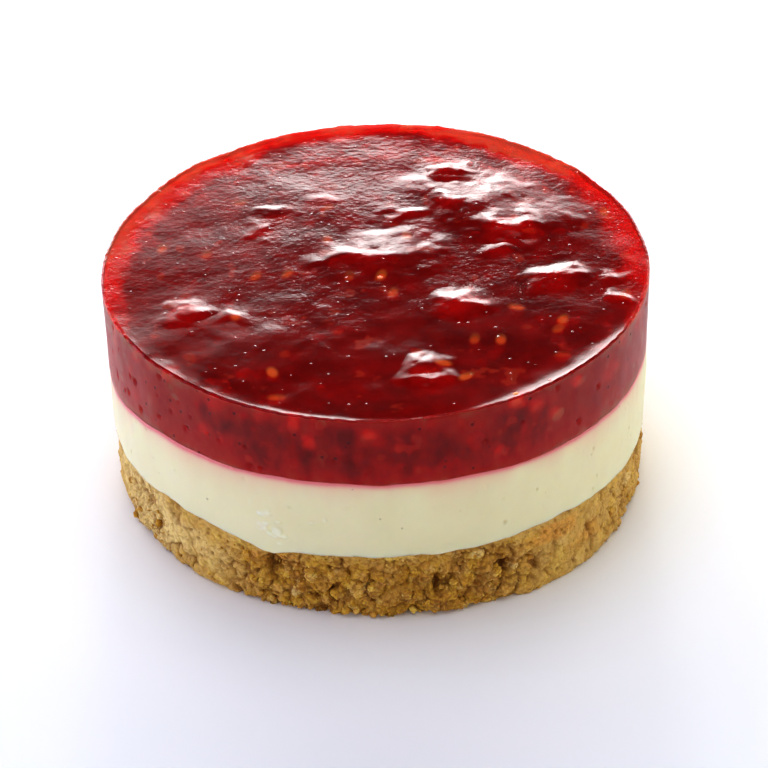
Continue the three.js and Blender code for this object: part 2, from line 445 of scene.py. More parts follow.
def mesh_object(name, points, quads, triangles):
    """A smooth mesh from points in millimetres and whole arrays of four- and three-cornered faces."""
    mesh = bpy.data.meshes.new(name)
    corners = np.concatenate([quads.ravel(), triangles.ravel()]).astype(np.int32)
    sizes = np.concatenate([np.full(len(quads), 4), np.full(len(triangles), 3)])
    starts = np.concatenate([[0], np.cumsum(sizes)[:-1]]).astype(np.int32)
    mesh.vertices.add(len(points))
    mesh.vertices.foreach_set("co", (points * MM).astype(np.float32).ravel())
    mesh.loops.add(len(corners))
    mesh.loops.foreach_set("vertex_index", corners)
    mesh.polygons.add(len(sizes))
    mesh.polygons.foreach_set("loop_start", starts)
    mesh.update(calc_edges=True)
    mesh.validate()
    mesh.shade_smooth()
    piece = bpy.data.objects.new(name, mesh)
    bpy.context.scene.collection.objects.link(piece)
    return piece


def paint(piece, name, values):
    """Keeps one number for each point of the mesh, for its material to read."""
    attribute = piece.data.attributes.new(name, "FLOAT", "POINT")
    attribute.data.foreach_set("value", np.asarray(values, np.float32))


def upright(radius, angle, z):
    """Points at a radius, an angle and a height."""
    radius, angle, z = np.broadcast_arrays(radius, angle, z)
    return np.stack([radius * np.cos(angle), radius * np.sin(angle), z], axis=-1)


def skin(name, rings, cap=None):
    """A closed surface through rings of equally many points, which follow each other outwards, down and in.
    A point closes the far end. The near end is closed by a point, or by a square grid whose border is the
    first ring."""
    rows, count = rings.shape[:2]
    points = [rings.reshape(-1, 3)]
    ring = np.arange(rows * count).reshape(rows, count)
    quads = []
    triangles = []
    total = ring.size
    if cap is None:
        points.append(rings[0].mean(axis=0)[None])
        triangles.append((np.full(count, total), ring[0], np.roll(ring[0], -1)))
        total += 1
    else:
        points.append(cap.reshape(-1, 3))
        grid = total + np.arange(cap.size // 3).reshape(cap.shape[:2])
        quads.append((grid[:-1, :-1], grid[1:, :-1], grid[1:, 1:], grid[:-1, 1:]))
        total += grid.size
        ring = np.vstack([grid[border(len(grid) - 1)], ring])
    points.append(rings[-1].mean(axis=0)[None])
    triangles.append((ring[-1], np.full(count, total), np.roll(ring[-1], -1)))
    ahead = np.roll(ring, -1, axis=1)
    quads.append((ring[:-1], ring[1:], ahead[1:], ahead[:-1]))
    return mesh_object(name, np.concatenate(points), faces_through(quads), faces_through(triangles))


def faces_through(corners):
    """One array of faces from sets of arrays, each set with an array for each corner."""
    return np.concatenate([np.stack(places, axis=-1).reshape(-1, len(places)) for places in corners])


def painted_skin(name, rows, ends):
    """A skin through rings that each bring the numbers to paint on them. For each number, ends gives its name
    and its values at the two end points."""
    piece = skin(name, np.array([ring for ring, *_ in rows]))
    for k, (painted, closing) in enumerate(ends.items(), start=1):
        values = [np.broadcast_to(row[k], len(row[0])) for row in rows]
        paint(piece, painted, np.concatenate([*values, closing]))
    return piece


def level_rings(shares, radius, around, height, *numbers):
    """Rings at shares of a radius, lifted to a surface in the plan, each with the same numbers to paint."""
    rows = []
    for share in shares:
        ring = upright(share * radius, around, 0.0)
        ring[:, 2] = height(ring[:, 0], ring[:, 1])
        rows.append((ring, *numbers))
    return rows


def border(n):
    """The places round the edge of a grid with n steps a side, anticlockwise from its corner at -45
    degrees."""
    run = np.arange(n)
    none = np.zeros(n, int)
    i = np.concatenate([none + n, n - run, none, run])
    j = np.concatenate([run, none + n, n - run, none])
    return i, j


def disc_grid(n):
    """A square grid wrapped onto a disc, its square rings becoming circles. Gives radius, from 0 to 1, and
    angle: the radius is the larger of the two sides, and the angle an eighth of a round times their ratio."""
    u, v = np.meshgrid(np.linspace(-1, 1, n + 1), np.linspace(-1, 1, n + 1), indexing="ij")
    sideways = np.abs(u) >= np.abs(v)
    reach = np.where(sideways, u, v)
    ratio = np.where(sideways, v, u) / np.where(reach == 0, 1, reach)
    angle = np.where(sideways, math.pi / 4 * ratio, math.pi / 2 - math.pi / 4 * ratio)
    return np.abs(reach), np.where(reach < 0, angle + math.pi, angle)


def round_angles(count, start=0.0):
    """Angles of that many points round the axis."""
    return start + 2 * math.pi * np.arange(count) / count


def lump_mesh(fineness):
    """Directions and faces of an icosphere: 12 points at fineness 1, 42 at 2, 162 at 3."""
    made = bmesh.new()
    bmesh.ops.create_icosphere(made, subdivisions=fineness, radius=1)
    directions = np.array([v.co for v in made.verts])
    faces = np.array([[v.index for v in f.verts] for f in made.faces])
    made.free()
    return directions, faces


def turned(points, turns):
    """Each lump's points turned by its own three angles, about X, then Y, then Z."""
    for axis in range(3):
        c = np.cos(turns[:, axis])[:, None]
        s = np.sin(turns[:, axis])[:, None]
        a, b = (axis + 1) % 3, (axis + 2) % 3
        moved = points.copy()
        moved[..., a] = points[..., a] * c - points[..., b] * s
        moved[..., b] = points[..., a] * s + points[..., b] * c
        points = moved
    return points


def joined(name, lumps, faces, tints, slot, material):
    """One piece from many lumps with the same three-cornered faces, an array of lumps by points by three, and
    a tint for each lump."""
    number, each = lumps.shape[:2]
    all_faces = (faces + each * np.arange(number)[:, None, None]).reshape(-1, 3)
    piece = mesh_object(name, lumps.reshape(-1, 3), np.zeros((0, 4), int), all_faces)
    paint(piece, "tint", np.repeat(tints, each))
    dress(piece, slot, material)


def dress(piece, slot, material, *nodes):
    """Puts a finished piece on the cake: what carries it, its material and the solids it stands for. The slot
    is not used."""
    piece.data.materials.append(material)
    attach(piece, "root")
    if nodes:
        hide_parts(*nodes)


# ---------- Shader graphs ----------


class Graph:
    """The nodes of one tree. A value given for an input is set on it, and an output given for it is
    linked."""

    def __init__(self, tree):
        self.tree = tree

    def node(self, kind, inputs=None, **settings):
        made = self.tree.nodes.new(kind)
        for name, value in settings.items():
            setattr(made, name, value)
        for name, value in (inputs or {}).items():
            if isinstance(value, bpy.types.NodeSocket):
                self.tree.links.new(value, made.inputs[name])
            else:
                made.inputs[name].default_value = value
        return made

    def math(self, operation, *values):
        return self.node("ShaderNodeMath", dict(enumerate(values)), operation=operation).outputs[0]

    def plus(self, a, b):
        return self.math("ADD", a, b)

    def less(self, a, b):
        return self.math("SUBTRACT", a, b)

    def times(self, a, b):
        return self.math("MULTIPLY", a, b)

    def swing(self, value, width):
        """A value from 0 to 1 made one about 0, that wide."""
        return self.times(self.less(value, 0.5), width)

    def step(self, value, low, high, start=0.0, end=1.0):
        """From start, where value is low, to end, where it is high, eased at both ends."""
        inputs = {"Value": value, "From Min": low, "From Max": high, "To Min": start, "To Max": end}
        return self.node("ShaderNodeMapRange", inputs, interpolation_type="SMOOTHSTEP").outputs[0]

    def noise(self, vector, size_mm, detail=2.0, roughness=0.5):
        inputs = {"Vector": vector, "Scale": 1 / (size_mm * MM), "Detail": detail, "Roughness": roughness}
        return self.node("ShaderNodeTexNoise", inputs).outputs[0]

    def cells(self, vector, size_mm):
        """Distance to the nearest of scattered middles, in cells."""
        return self.node("ShaderNodeTexVoronoi", {"Vector": vector, "Scale": 1 / (size_mm * MM)}).outputs[0]

    def spots(self, vector, size_mm, edge, core, rarest, surest):
        """Round spots on some cells, by each one's own chance: 0 at the edge distance, 1 at the core's."""
        inputs = {"Vector": vector, "Scale": 1 / (size_mm * MM)}
        distance, own = self.node("ShaderNodeTexVoronoi", inputs).outputs[:2]
        chance = self.node("ShaderNodeSeparateColor", {"Color": own}).outputs[0]
        return self.times(self.step(distance, edge, core), self.step(chance, rarest, surest))

    def mix(self, factor, a, b):
        """Colour a where factor is 0 and b where it is 1."""
        return self.node("ShaderNodeMix", {0: factor, 6: a, 7: b}, data_type="RGBA").outputs[2]

    def tinge(self, factor, colour, towards, most=1.0):
        """A colour taken towards another by the factor, and at most by that share."""
        return self.mix(self.times(factor, most), colour, (*towards, 1.0))

    def ramp(self, factor, *stops):
        """Colours at their places from 0 to 1, and even steps between them."""
        made = self.node("ShaderNodeValToRGB", {"Fac": factor})
        elements = made.color_ramp.elements
        while len(elements) < len(stops):
            elements.new(0.5)
        for element, (place, colour) in zip(elements, stops):
            element.position = place
            element.color = (*colour, 1)
        return made.outputs[0]

    def bump(self, height, distance_mm, normal=None):
        inputs = {"Height": height, "Distance": distance_mm * MM, "Strength": 1.0}
        if normal is not None:
            inputs["Normal"] = normal
        return self.node("ShaderNodeBump", inputs).outputs[0]

    def object_place(self):
        return self.node("ShaderNodeTexCoord").outputs["Object"]

    def painted(self, name):
        return self.node("ShaderNodeAttribute", attribute_name=name).outputs["Fac"]

    def surface(self, inputs):
        """The shader with those inputs, and the output that it goes to."""
        shader = self.node("ShaderNodeBsdfPrincipled", inputs)
        return self.node("ShaderNodeOutputMaterial", {"Surface": shader.outputs[0]})


def new_material(name):
    """An empty material, and the graph of its nodes."""
    material = bpy.data.materials.new(name)
    material.use_nodes = True
    material.node_tree.nodes.clear()
    return material, Graph(material.node_tree)


def crumb_grain_group():
    """Ground biscuit, from a number for each crumb's tint and for how hollow, smeared and baked it is. Gives
    its colour, with patches of caramel, and painted shade in hollows, in small dents and in the gaps between
    its grains, and the height of its grit."""
    tree = bpy.data.node_groups.new("crumb_grain", "ShaderNodeTree")
    for name, kind in (("Color", "NodeSocketColor"), ("Height", "NodeSocketFloat")):
        tree.interface.new_socket(name, in_out="OUTPUT", socket_type=kind)
    for name in ("Tint", "Hollow", "Smear", "Baked"):
        tree.interface.new_socket(name, in_out="INPUT", socket_type="NodeSocketFloat")
    graph = Graph(tree)
    given = graph.node("NodeGroupInput").outputs
    place = graph.object_place()
    patches = graph.noise(place, 3.2, 3.0, 0.6)
    grit = graph.noise(place, 0.45, 4.0, 0.65)
    tone = graph.plus(graph.times(given["Tint"], 0.5), graph.times(patches, 0.6))
    tone = graph.plus(tone, graph.swing(grit, 0.7))
    tan = ((0.44, 0.185, 0.020), (0.59, 0.310, 0.050), (0.72, 0.430, 0.095), (0.93, 0.70, 0.27))
    golden = ((0.44, 0.180, 0.010), (0.60, 0.310, 0.024), (0.73, 0.430, 0.048), (0.95, 0.72, 0.17))
    tan, golden = (graph.ramp(tone, *zip((0.05, 0.35, 0.65, 0.95), browns)) for browns in (tan, golden))
    colour = graph.mix(graph.step(graph.noise(place, 2.6, 3.0), 0.42, 0.58), tan, golden)
    colour = graph.tinge(graph.step(graph.noise(place, 2.1), 0.60, 0.72), colour, (0.66, 0.31, 0.05), 0.6)
    colour = graph.tinge(given["Smear"], colour, (0.78, 0.55, 0.17), 0.5)
    baked = graph.plus(given["Baked"], graph.swing(patches, 0.8))
    colour = graph.tinge(graph.step(baked, 0.2, 0.75), colour, (0.78, 0.36, 0.05), 0.65)
    colour = graph.tinge(graph.step(baked, -0.2, -0.75), colour, (0.95, 0.76, 0.34), 0.6)
    # Small dents, darkened in colour by painted shade.
    shaded_dents = graph.step(graph.cells(place, 0.9), 0.16, 0.10)
    colour = graph.tinge(shaded_dents, colour, (0.34, 0.15, 0.03), 0.55)
    inputs = {"Vector": place, "Scale": 1 / (0.7 * MM), "Detail": 1.0}
    jog = graph.node("ShaderNodeTexNoise", inputs).outputs["Color"]
    jog = graph.node("ShaderNodeVectorMath", {0: jog, 1: (-0.5, -0.5, -0.5)}, operation="ADD").outputs[0]
    inputs = {0: jog, 1: (0.7 * MM, 0.7 * MM, 0.7 * MM), 2: place}
    jogged = graph.node("ShaderNodeVectorMath", inputs, operation="MULTIPLY_ADD").outputs[0]
    grains = graph.cells(jogged, 0.62)
    # Painted shade in the gaps between the grains, less where the wall is smeared.
    between = graph.times(graph.step(grains, 0.42, 0.75), graph.step(given["Smear"], 1.1, 0.2, 0.26, 0.62))
    colour = graph.tinge(between, colour, (0.42, 0.18, 0.018))
    # Painted shade in hollows.
    colour = graph.tinge(given["Hollow"], colour, (0.30, 0.11, 0.012))
    height = graph.times(graph.less(grit, shaded_dents), 0.6)
    domes = graph.times(graph.math("POWER", grains, 2.0), graph.step(given["Smear"], 1.0, 0.2, 0.8, 1.7))
    graph.node("NodeGroupOutput", {"Color": colour, "Height": graph.less(height, domes)})
    return tree


def soft(weight, depth_mm, *reach):
    """Shader inputs of a soft body: how much light goes in, how deep, and how far each colour reaches."""
    depth = depth_mm * MM
    return {"Subsurface Weight": weight, "Subsurface Scale": depth, "Subsurface Radius": reach}


def biscuit_material(grain):
    """Pressed biscuit wall: the crumb grain, tinted by cell, darkened by painted shade in hollows and paler
    where it is smeared."""
    material, graph = new_material("pressed_biscuit")
    given = {name: graph.painted(name.lower()) for name in ("Tint", "Hollow", "Baked", "Smear")}
    crumb = graph.node("ShaderNodeGroup", given, node_tree=grain).outputs
    height = graph.plus(crumb["Height"], graph.times(graph.noise(graph.object_place(), 0.2), 0.5))
    inputs = {
        **soft(0.25, 0.8, 1.0, 0.6, 0.3),
        "Base Color": crumb["Color"],
        "Roughness": graph.step(given["Smear"], 0.0, 1.0, 0.72, 0.5),
        "Specular IOR Level": 0.35,
        "Normal": graph.bump(height, 0.12),
    }
    graph.surface(inputs)
    return material


def loose_crumb_material(grain):
    """Crumbs that stand out of the wall: the same grain, each crumb in its own tone."""
    material, graph = new_material("loose_crumb")
    crumb = graph.node("ShaderNodeGroup", {"Tint": graph.painted("tint")}, node_tree=grain).outputs
    inputs = {
        **soft(0.25, 0.6, 1.0, 0.6, 0.3),
        "Base Color": crumb["Color"],
        "Roughness": 0.7,
        "Specular IOR Level": 0.35,
        "Normal": graph.bump(crumb["Height"], 0.1),
    }
    graph.surface(inputs)
    return material


def cream_material():
    """Set cream cheese: warm white and soft to light, paler where its skin is torn, with a few dark specks
    and the jelly's pink bled into its top edge."""
    material, graph = new_material("set_cream")
    place = graph.object_place()
    clouds = graph.noise(place, 6.0, 3.0)
    colour = graph.ramp(clouds, (0.3, (0.855, 0.785, 0.505)), (0.7, (0.885, 0.82, 0.545)))
    colour = graph.tinge(graph.painted("torn"), colour, (0.93, 0.91, 0.74), 0.6)
    specks = graph.spots(place, 3.4, 0.075, 0.035, 0.72, 0.8)
    colour = graph.tinge(specks, colour, (0.42, 0.36, 0.20), 0.55)
    inputs = {
        **soft(0.6, 2.0, 1.0, 0.8, 0.45),
        "Base Color": graph.tinge(graph.painted("bleed"), colour, (0.85, 0.235, 0.245)),
        "Roughness": graph.step(clouds, 0.3, 0.7, 0.42, 0.52),
        "Specular IOR Level": 0.4,
        "Normal": graph.bump(graph.less(graph.noise(place, 0.5, 3.0), graph.times(specks, 4.0)), 0.02),
    }
    graph.surface(inputs)
    return material


def jelly_material():
    """Raspberry jelly: deep red and half clear, brighter over its pulp, with painted light where light
    shines through it, and amber over seeds. Wet on top, with tiny beads in its skin, and satin at the side,
    with pits darkened by painted shade."""
    material, graph = new_material("raspberry_jelly")
    place = graph.object_place()
    wall = graph.painted("wall")
    # Brighter over pulp and fruit, and painted light where light shines in through the side and the top.
    pulp_and_painted_light = graph.plus(graph.painted("pulp_and_painted_light"), graph.swing(graph.noise(place, 5.0, 4.0, 0.6), 0.7))
    colour = graph.ramp(
        pulp_and_painted_light,
        (0.0, (0.44, 0.008, 0.009)),
        (0.3, (0.86, 0.018, 0.017)),
        (0.65, (1.0, 0.055, 0.035)),
        (1.0, (1.0, 0.26, 0.14)),
    )
    colour = graph.tinge(graph.painted("amber"), colour, (1.0, 0.28, 0.07))
    # Pits in the side: dents, with painted shade darkening their colour.
    pits = graph.times(graph.spots(place, 1.9, 0.17, 0.09, 0.45, 0.55), wall)
    peel = graph.less(graph.times(graph.noise(place, 0.9, 2.0, 0.6), graph.painted("peel")), pits)
    beads = graph.spots(place, 1.3, 0.2, 0.05, 0.45, 1.0)
    beads = graph.times(beads, graph.step(graph.noise(place, 7.0), 0.42, 0.6, 0.3))
    inputs = {
        **soft(1.0, 4.0, 1.0, 0.2, 0.12),
        "Base Color": graph.tinge(pits, colour, (0.16, 0.006, 0.008), 0.8),
        "Roughness": graph.step(wall, 0.0, 1.0, 0.09, 0.34),
        "IOR": 1.33,
        "Transmission Weight": 0.75,
        "Normal": graph.bump(beads, 0.05, graph.bump(peel, 0.032)),
    }
    output = graph.surface(inputs)
    clear = graph.node("ShaderNodeVolumeAbsorption", {"Color": (0.85, 0.30, 0.2, 1.0), "Density": 230.0})
    graph.tree.links.new(clear.outputs[0], output.inputs["Volume"])
    return material


def seed_material():
    """Raspberry seed: orange to straw yellow, with a fine net of ridges."""
    material, graph = new_material("raspberry_seed")
    net = graph.cells(graph.object_place(), 0.3)
    tone = graph.plus(graph.times(graph.painted("tint"), 0.6), graph.times(net, 0.4))
    colour = graph.ramp(tone, (0.0, (0.85, 0.17, 0.03)), (1.0, (0.95, 0.40, 0.11)))
    graph.surface({"Base Color": colour, "Roughness": 0.45, "Normal": graph.bump(net, 0.05)})
    return material


def fruit_material():
    """Raspberry flesh: bright red, paler where a drupelet's skin is thin."""
    material, graph = new_material("raspberry_flesh")
    mottle = graph.noise(graph.object_place(), 1.6, 3.0)
    tone = graph.plus(graph.painted("tint"), graph.swing(mottle, 0.8))
    reds = ((0.0, (0.60, 0.03, 0.03)), (0.5, (0.88, 0.09, 0.05)), (1.0, (0.97, 0.17, 0.06)))
    inputs = {
        **soft(0.6, 1.5, 1.0, 0.2, 0.12),
        "Base Color": graph.ramp(tone, *reds),
        "Roughness": 0.4,
        "Normal": graph.bump(mottle, 0.1),
    }
    graph.surface(inputs)
    return material


# ---------- The jelly ----------

JELLY_GRID = 300  # steps across the top, which gives the side four times as many
JELLY_ROWS = 42
EDGE_ROWS = 4  # round the rim's worn edge


def jelly_rim(angle):
    """Radius of the jelly's side: the solid's, with a chance waver inwards that is widest at the back."""
    waver = 1 + rough(upright(RADIUS, angle, 0.0), 7.0, 301)
    return jelly_radius(angle) - (0.06 + 0.22 * np.maximum(0, np.sin(angle))) * waver


def rim_climb(angle):
    """How high the jelly has climbed the ring at an angle: the highest of wide humps, uneven by noise."""
    reached = np.maximum.reduce([share * wide_hump(angle, at, half) for at, half, share in RIM_CLIMBS])
    waver = rough(upright(RADIUS, angle, 0.0), 9.0, 351, 2)
    return RIM_RISE * np.clip(0.06 + 0.9 * reached + 0.16 * waver, 0.03, 1)


def dressed_top(x, y, from_ring):
    """Level, with a climb at the ring whose reach varies, the solid's broad swells, and its lifts, knobbly
    with drupelets, all pushed sideways by noise. The set skin adds slow and quicker swells and a fine
    peel."""
    place = flat(x, y)
    angle = np.arctan2(y, x)
    reach = RIM_REACH * (0.9 + 0.6 * eased_step(np.sin(angle), -0.6, 0.3) * np.abs(np.cos(angle)))
    climb = rim_climb(angle) * np.exp(-from_ring / reach)
    x, y = x + 1.7 * rough(place, 5.0, 353), y + 1.7 * rough(place, 5.0, 357)
    off, _, _ = pebbles(place + (0, 0, 1.3), 2.9, 359)
    lift = fruit_lift(x, y) * (1 - 0.45 * np.minimum(1, off**2)) + sum(elliptic_humps(BROAD_SWELLS, x, y))
    waves_and_peel = 0.06 * rough(place, 14.0, 311, 2) + 0.028 * rough(place, 5.0, 313, 2)
    waves_and_peel = waves_and_peel + 0.005 * rough(place, 1.7, 317, 2)
    level = HEIGHT - RIM_RISE + climb + lift * (1 - climb / RIM_RISE)
    return level + waves_and_peel * eased_step(from_ring, 0.0, 2.5)


def top_over(x, y):
    """Height of the dressed top over places in the plan."""
    return dressed_top(x, y, np.maximum(0, RADIUS - RIM_BEVEL - np.hypot(x, y)))


def side_pits(angle, z):
    """Depth of the small round pits that bubbles left against the ring, most of them at the left."""
    draw = np.random.default_rng(71)
    depth = np.zeros_like(angle)
    for middle in np.concatenate([draw.uniform(-172, -112, 26), draw.uniform(-112, 188, 34)]):
        level = draw.uniform(CREAM_TOP + 1, HEIGHT - 1.5)
        radius = draw.uniform(0.35, 0.75)
        depth = np.maximum(depth, 0.8 * radius * side_hump(angle, z, middle, level, radius, radius))
    return depth


def seed_spots(x, y, seeds):
    """1 over the middle of each seed, falling to nothing at its outline: ellipses, less strong the deeper."""
    spots = np.zeros_like(x)
    for cx, cy, depth, turn in seeds:
        along, across = along_and_across(x - cx, y - cy, turn)
        inside = 1 - eased_step(np.hypot(along / 1.45, across / 0.85), 0.55, 1.15)
        spots = np.maximum(spots, (1.15 - 0.7 * depth) * inside)
    return spots


def top_pulp_and_painted_light(points):
    """How bright the jelly is from above: over fruit and torn pulp, and with painted light in a ragged,
    mottled band inside the rim, for light shining in through the side, brightest at the left and the back
    and gone at the front, where no light comes through."""
    x, y, _ = points.T
    angle = np.arctan2(y, x)
    # Painted light: a band inside the rim for light shining in through the side, strongest left and back.
    width = 5.8 - 1.0 * np.maximum(0, np.sin(angle)) + 3.4 * rough(points, (5.0, 5.0, 50.0), 361)
    band = 1 - eased_step(RADIUS - np.hypot(x, y), 0.4 * width, width)
    strength = 0.62 - 0.34 * np.cos(angle) + 0.8 * wide_hump(angle, 55, 32)
    strength = strength + 0.24 * rough(points, 1.8, 363, 2)
    band = band * strength * eased_step(np.sin(angle), -0.45, 0.25)
    return 0.07 + 0.15 * fruit_lift(x, y) + band + 0.3 * torn_pulp(points)


def torn_pulp(points):
    """Shreds of pulp close under the skin, from 0 to 1: where noise is high."""
    return eased_step(rough(points, 2.6, 367), 0.55, 0.95)


def side_pulp_and_painted_light(points):
    """How bright the jelly is from the side: in torn pulp, and with painted light most along its upper and
    lower edges and at the left and right, where light comes through."""
    x, y, z = points.T
    # Painted light along the upper and lower edges, and at the left and right where light comes through.
    upper = 0.62 * np.exp(-np.maximum(0, HEIGHT - 0.3 - z) / 1.2)
    lower = 0.5 * np.exp(-np.maximum(0, z - cream_top(x, y)) / 1.1)
    through = 0.42 * eased_step(np.abs(x), 14.0, 38.0)
    mottle = 0.4 * torn_pulp(points) + 0.22 * rough(points, (2.0, 2.0, 4.0), 373)
    return 0.16 + upper + lower + through + mottle


def jelly_piece(material):
    """The top is a disc grid lifted to dressed_top, and the side is rows from the worn edge down, wavering by
    noise, less the pits. The underside follows the cream just below its top."""
    share, angle = disc_grid(JELLY_GRID)
    spread = 0.75 * share + 0.25 * np.sin(math.pi / 2 * share)
    edge = jelly_rim(angle) - RIM_BEVEL
    x, y = spread * edge * np.cos(angle), spread * edge * np.sin(angle)
    cap = np.stack([x, y, dressed_top(x, y, (1 - spread) * edge)], axis=-1)

    around = round_angles(4 * JELLY_GRID, -math.pi / 4)
    rim = jelly_rim(around)
    edge_top = HEIGHT - RIM_RISE + rim_climb(around)
    bead = 0.06 * rough(upright(RADIUS, around, 0.0), 0.9, 331, 2)
    rings = []
    for k in range(1, EDGE_ROWS + 1):
        turn = math.pi / 2 * k / EDGE_ROWS
        out = RIM_BEVEL * (math.sin(turn) - 1) + bead * math.sin(2 * turn)
        down = RIM_BEVEL * (1 - math.cos(turn)) - bead * math.sin(2 * turn)
        rings.append(upright(rim + out, around, edge_top - down))
    start = edge_top - RIM_BEVEL
    bottom = on_ring(tucked(jelly_joint), around)
    for k in range(1, JELLY_ROWS + 1):
        level = start + (bottom - start) * k / JELLY_ROWS
        waver = 0.05 * rough(upright(rim, around, level), (4.0, 4.0, 7.0), 341) * min(1, k / 4)
        rings.append(upright(rim + waver - side_pits(around, level), around, level))
    below = level_rings((0.985, 0.93, 0.75, 0.45, 0.2), rim, around, tucked(jelly_joint))
    piece = skin("raspberry_jelly_piece", np.array([*rings, *(ring for ring, in below)]), cap)

    points = np.zeros(len(piece.data.vertices) * 3)
    piece.data.vertices.foreach_get("co", points)
    points = points.reshape(-1, 3) / MM
    x, y, z = points.T
    wall = eased_step(np.hypot(x, y), RADIUS - 0.9, RADIUS - 0.45)
    wall = wall * (1 - eased_step(z, HEIGHT - 0.6, HEIGHT - 0.3))
    along_side = [(RADIUS * math.radians(at), *rest) for at, *rest in SIDE_SEEDS]
    side_spots = wall * seed_spots(RADIUS * np.arctan2(y, x), z, along_side)
    top_spots = (1 - wall) * seed_spots(x, y, TOP_SEEDS)
    smooth_front = eased_step(y + 6 * rough(points, (8.0, 8.0, 50.0), 379, 2), -26.0, -3.0)
    paint(piece, "wall", wall)
    # Brightness of the colour: pulp, fruit and seeds, and painted light round the rim and in the side.
    paint(piece, "pulp_and_painted_light", wall * side_pulp_and_painted_light(points) + (1 - wall) * top_pulp_and_painted_light(points) + 0.45 * side_spots)
    paint(piece, "amber", np.maximum(top_spots, 0.2 * torn_pulp(points) * (1 - wall)))
    paint(piece, "peel", 0.12 + 0.88 * smooth_front * (1 - 0.8 * wall))
    dress(piece, "jelly", material, "raspberry_jelly")


# ---------- The cream ----------

CREAM_SECTORS = 1080
CREAM_ROWS = 60
CREAM_SCUFFS = [
    # angle in degrees, height of its middle, half width, half height, share
    (-115, 16.0, 4.4, 4.4, 0.8),
    (-112, 13.5, 3.8, 2.6, 0.85),
    (-103.5, 17.6, 3.2, 2.4, 0.7),
    (-137, 17.5, 3.0, 2.0, 0.5),
    (70, 16.0, 6.0, 3.0, 0.5),
    (172, 15.0, 4.0, 3.0, 0.5),
]


def scuffs(points):
    """Where the ring tore the cream's skin, from 0 to 1: ragged patches inside a few side humps."""
    angle = np.arctan2(points[:, 1], points[:, 0])
    humps = [share * side_hump(angle, points[:, 2], *place) for *place, share in CREAM_SCUFFS]
    near = np.maximum.reduce(humps)
    ragged = rough(points, (1.3, 1.3, 0.8), 461) + 1.2 * near
    return eased_step(ragged, 0.95, 1.35) * np.minimum(1, 3 * near)


def cream_piece(material):
    """The side is the solid's, with fine upright smears, scuffs and a few pits. Its top and underside follow
    the two joints. The pink fades down from the top edge, unevenly, and covers the top."""
    around = round_angles(CREAM_SECTORS)
    upper, lower = on_ring(jelly_joint, around), on_ring(tucked(crumb_joint), around)
    spread = 1.0 + 0.5 * rough(upright(RADIUS, around, 0.0), 5.0, 421) - 0.12 * np.cos(around)
    side = []
    for k in range(CREAM_ROWS + 1):
        level = upper + (lower - upper) * k / CREAM_ROWS
        radius = cream_radius(around, level)
        place = upright(radius, around, level)
        smear = 0.05 * rough(place, (3.0, 3.0, 6.0), 401)
        pits = 0.35 * eased_step(rough(place, 0.9, 411, 2), 0.95, 1.25)
        torn = scuffs(place)
        line = 0.8 * np.exp(-(((upper - level) / 0.65) ** 2))
        fade = 0.46 * np.exp(-((np.maximum(0, upper - level) / (1.8 * np.maximum(0.4, spread))) ** 1.2))
        ring = upright(radius + smear - pits + 0.24 * torn, around, level)
        side.append((ring, np.clip(line + fade, 0, 1), torn))
    inner = RADIUS - CREAM_INSET
    top = level_rings((0.12, 0.3, 0.5, 0.68, 0.82, 0.92, 0.98), inner, around, jelly_joint, 0.5, 0.0)
    underside = level_rings((0.96, 0.85, 0.6, 0.3), inner, around, tucked(crumb_joint), 0.0, 0.0)
    ends = {"bleed": (0.5, 0.0), "torn": (0.0, 0.0)}
    piece = painted_skin("cream_cheese_piece", [*top, *side, *underside], ends)
    dress(piece, "cream", material, "cream_layer")


# ---------- The biscuit base ----------

BISCUIT_SECTORS = 1440
BISCUIT_ROWS = 72


def crumb_texture(place, loose):
    """Relief of the pressed crumbs. Rounded cells of two sizes, clumps and crumbs, stand at heights of their
    own and dip at their edges, more so where noise has them apart, and some crumbs have fallen out. The
    second number says how loose the crumbs are, from 0 to 1. Gives height, tint and hollow: how much
    painted shade the grooves, seams, gaps and pits get."""
    jog = np.stack([0.45 * rough(place, 1.5, seed) for seed in (503, 505, 507)], axis=-1)
    clump_off, clump_edge, clump_own = pebbles(place + jog, 2.7, 501)
    crumb_off, crumb_edge, crumb_own = pebbles(place + jog, 1.15, 521)
    pit_off, _, pit_own = pebbles(place, 1.6, 561)
    apart = eased_step(0.6 * rough(place, 3.0, 551) + 0.8 * loose, 0.1, 1.0)
    flat_top = eased_step(crumb_edge, 0.0, 0.4)
    groove = np.exp(-((crumb_edge / 0.17) ** 2))
    seam = np.exp(-((clump_edge / 0.11) ** 2))
    fallen = eased_step(crumb_own, 0.93 - 0.12 * loose, 0.95 - 0.12 * loose) * flat_top
    pit = eased_step(pit_off, 0.27, 0.12) * (pit_own > 0.5)
    uneven = 0.36 * (clump_own - 0.5) + 0.32 * (crumb_own - 0.5) * flat_top
    domes = -0.2 * crumb_off**2 - 0.16 * clump_off**2
    gaps = -0.24 * groove - 0.55 * seam - 0.6 * fallen
    grain = (0.05 + 0.09 * loose) * rough(place, 0.8, 541)
    height = (0.16 + 0.8 * apart) * (uneven + domes + gaps) - 0.3 * pit + grain
    # How much painted shade falls in grooves, seams, fallen crumbs and pits.
    hollow = (0.08 + 0.8 * apart) * (0.35 * groove + 0.7 * seam + 0.75 * fallen) + 0.5 * pit
    return height, 0.45 * clump_own + 0.55 * crumb_own, np.clip(hollow, 0, 1)


